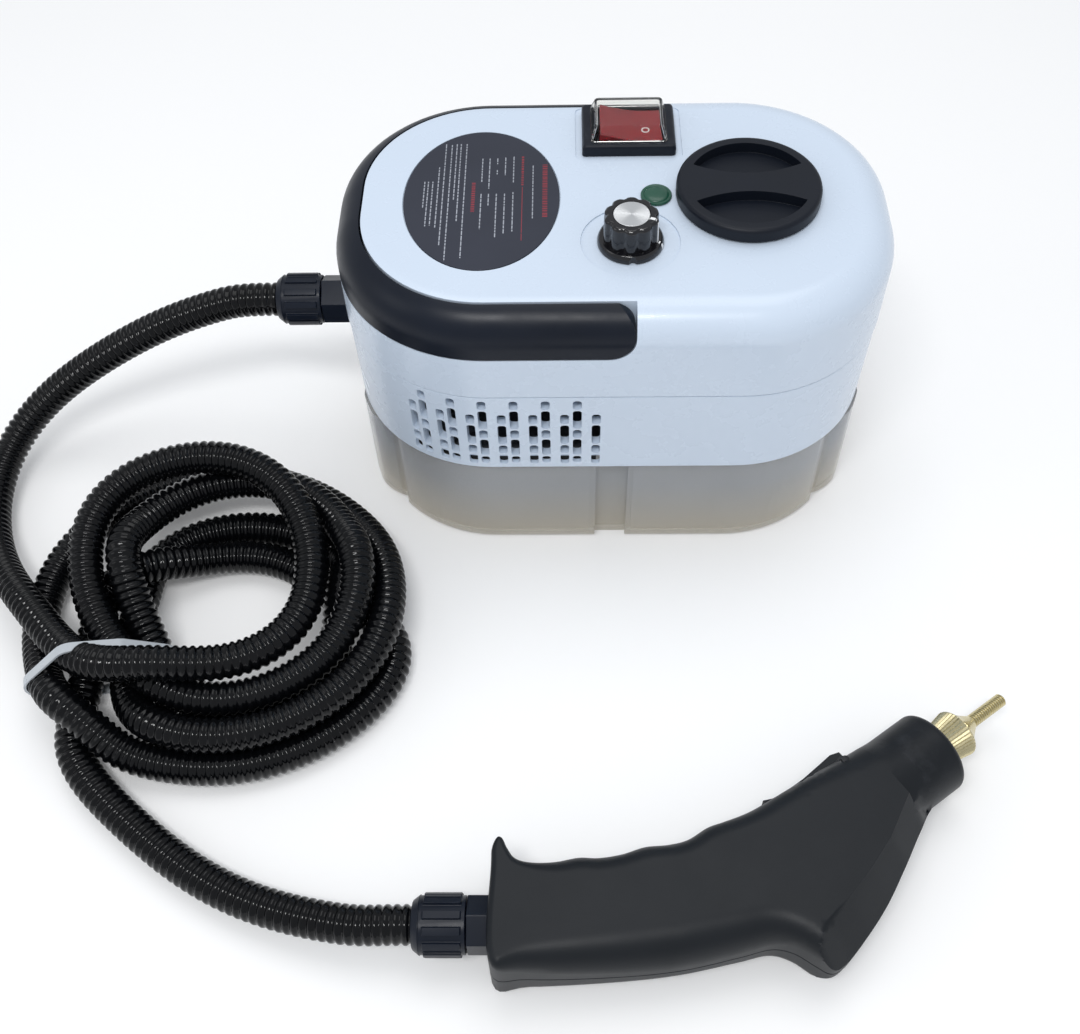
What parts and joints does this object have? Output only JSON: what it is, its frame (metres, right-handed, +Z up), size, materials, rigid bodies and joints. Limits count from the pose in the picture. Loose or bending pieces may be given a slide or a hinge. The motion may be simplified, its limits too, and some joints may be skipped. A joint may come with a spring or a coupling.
{
  "type": "portable steam cleaner with corrugated hose and steam gun",
  "caption": "White portable steam cleaner with a clear water tank, fold-up carry handle, round filler cap, steam knob, covered switch and a coiled corrugated hose ending in a black steam gun",
  "frame": {"origin": "centre of the flat underside of the water tank, on the floor", "axes": "+X along the length of the case towards the filler end, +Y towards the back of the case, +Z up"},
  "size_m": [0.4279, 0.3354, 0.1469],
  "materials": {
    "case_white": "glossy bluish white moulded case",
    "trim_black": "satin black moulding with a fine grain",
    "knob_black": "glossy black thermoset",
    "tank_smoke": "smoky see-through tank",
    "cover_clear": "clear soft cover and clear tubes",
    "inner_grey": "plain grey moulding",
    "hose_black": "glossy black corrugated conduit",
    "seal_black": "plain black rubber",
    "brass_turned": "turned and knurled brass",
    "steel_plain": "zinc plated steel",
    "aluminium_spun": "spun and cast aluminium",
    "rocker_red": "glossy red rocker",
    "lens_green": "tinted green lens",
    "label_dark": null,
    "tie_clear": "translucent white nylon",
    "board_green": "green circuit board",
    "copper_wound": "varnished copper winding"
  },
  "bodies": {
    "base": {"barrel_collar": "trim_black", "boiler": "aluminium_spun", "cable_tie": "tie_clear", "case_screw_1": "steel_plain", "case_screw_2": "steel_plain", "case_screw_3": "steel_plain", "case_screw_4": "steel_plain", "control_board": "board_green", "feed_tube": "cover_clear", "filler_tube": "inner_grey", "gun_gland_body": "trim_black", "gun_gland_nut": "trim_black", "gun_screw_1": "steel_plain", "gun_screw_2": "steel_plain", "gun_shell_left": "trim_black", "gun_shell_right": "trim_black", "handle_pin_back": "steel_plain", "handle_pin_front": "steel_plain", "heating_element": "steel_plain", "hose_coil": "hose_black", "hose_lead": "hose_black", "hose_tail": "hose_black", "indicator_body": "inner_grey", "indicator_lens": "lens_green", "label_disc": "label_dark", "lower_shell": "case_white", "machine_gland_body": "trim_black", "machine_gland_nut": "trim_black", "mains_cord_gland": "trim_black", "potentiometer_body": "inner_grey", "pump_coil": "copper_wound", "steam_pipe": "brass_turned", "steam_switch": "inner_grey", "steam_tube": "brass_turned", "suction_filter": "case_white", "suction_tube": "cover_clear", "switch_body": "trim_black", "switch_cover": "cover_clear", "switch_frame": "trim_black", "tank": "tank_smoke", "tank_seal": "seal_black", "thermal_fuse": "case_white", "thermostat": "inner_grey", "trigger_pin": "steel_plain", "trigger_spring": "steel_plain", "upper_shell": "case_white", "water_pump": "trim_black"},
    "handle_body": {"carry_handle": "trim_black"},
    "cap_seal_body": {"cap_seal": "seal_black"},
    "cap_body": {"filler_cap": "trim_black"},
    "knob_body": {"knob": "knob_black", "knob_insert": "aluminium_spun", "potentiometer_shaft": "aluminium_spun"},
    "rocker_body": {"switch_rocker": "rocker_red"},
    "trigger_body": {"trigger": "trim_black"},
    "nozzle_seal_body": {"nozzle_seal": "seal_black"},
    "nozzle_body": {"nozzle": "brass_turned"}
  },
  "joints": [
    {"name": "handle_lift", "type": "hinge", "parent": "base", "child": "handle_body", "pos_m": [-0.003, 0, 0.1246], "axis": [0, 1, 0], "range_deg": [0, 90]},
    {"name": "cap_lift", "type": "slide", "parent": "base", "child": "cap_seal_body", "axis": [0, 0, 1], "range_m": [0, 0.006]},
    {"name": "cap_turn", "type": "hinge", "parent": "cap_seal_body", "child": "cap_body", "pos_m": [0.0505, 0, 0.1404], "axis": [0, 0, 1], "range_deg": [0, 720]},
    {"name": "knob_turn", "type": "hinge", "parent": "base", "child": "knob_body", "pos_m": [0.0055, -0.0247, 0.1468], "axis": [0, 0, 1], "range_deg": [-23, 247]},
    {"name": "rocker_tilt", "type": "hinge", "parent": "base", "child": "rocker_body", "pos_m": [0.0066, 0.0378, 0.131], "axis": [0, -1, 0], "range_deg": [0, 14]},
    {"name": "trigger_squeeze", "type": "hinge", "parent": "base", "child": "trigger_body", "pos_m": [0.0813, -0.18125, 0.0162], "axis": [0, 0, 1], "range_deg": [0, 8], "stiffness_Nm_per_rad": 0.6, "springref_deg": -6.88},
    {"name": "nozzle_out", "type": "slide", "parent": "base", "child": "nozzle_seal_body", "axis": [0.8121, 0.5835, 0], "range_m": [0, 0.004]},
    {"name": "nozzle_turn", "type": "hinge", "parent": "nozzle_seal_body", "child": "nozzle_body", "pos_m": [0.1175, -0.1715, 0.0162], "axis": [0.8121, 0.5835, 0], "range_deg": [0, 1440]}
  ],
  "couplings": [
    {"joint": "cap_turn", "follows": "cap_lift", "rad_per_m": 2094.4},
    {"joint": "nozzle_turn", "follows": "nozzle_out", "rad_per_m": 6283.2}
  ]
}
